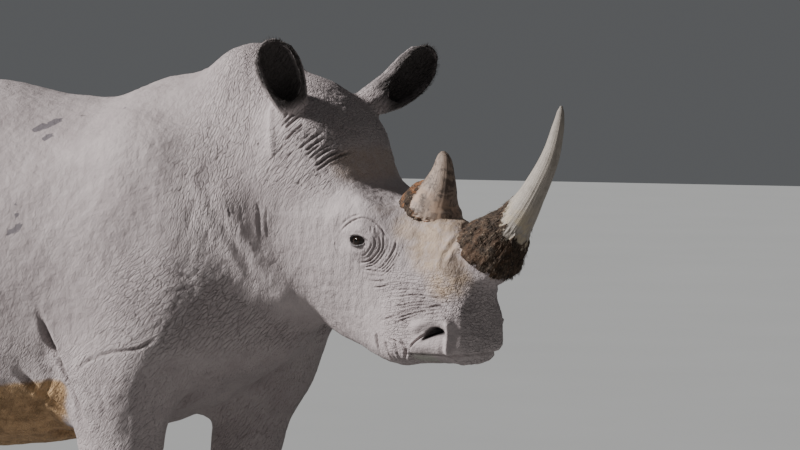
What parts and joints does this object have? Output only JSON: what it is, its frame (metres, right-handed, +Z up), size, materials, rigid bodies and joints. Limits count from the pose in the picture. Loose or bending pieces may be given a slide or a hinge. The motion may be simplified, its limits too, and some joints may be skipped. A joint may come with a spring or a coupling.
{
  "type": "life-size white rhinoceros model",
  "caption": "Standing white rhinoceros with raised, turned head, two nose horns, cupped ears and steady feet; a still, life-size display animal.",
  "frame": {"origin": "on the floor, under the centre of the model's outline", "axes": "+X the way the body faces, along its length, +Y to its left, +Z up"},
  "size_m": [3.1828, 0.9998, 1.773],
  "materials": {
    "skin": "dry, wrinkled hide",
    "horn": "matt horn, fibrous at the base",
    "nail": "worn hoof nail",
    "eye": "wet gloss"
  },
  "bodies": {
    "root": {"trunk": "skin", "tail": "skin", "neck": "skin", "head": "skin", "lower_jaw": "skin", "ear_left": "skin", "ear_right": "skin", "foreleg_left": "skin", "foreleg_right": "skin", "hindleg_left": "skin", "hindleg_right": "skin", "horn_front": "horn", "horn_rear": "horn", "eye_left": "eye", "eye_right": "eye", "fore_nail_left_outer": "nail", "fore_nail_left_front": "nail", "fore_nail_left_inner": "nail", "fore_nail_right_outer": "nail", "fore_nail_right_front": "nail", "fore_nail_right_inner": "nail", "hind_nail_left_outer": "nail", "hind_nail_left_front": "nail", "hind_nail_left_inner": "nail", "hind_nail_right_outer": "nail", "hind_nail_right_front": "nail", "hind_nail_right_inner": "nail"}
  },
  "joints": []
}
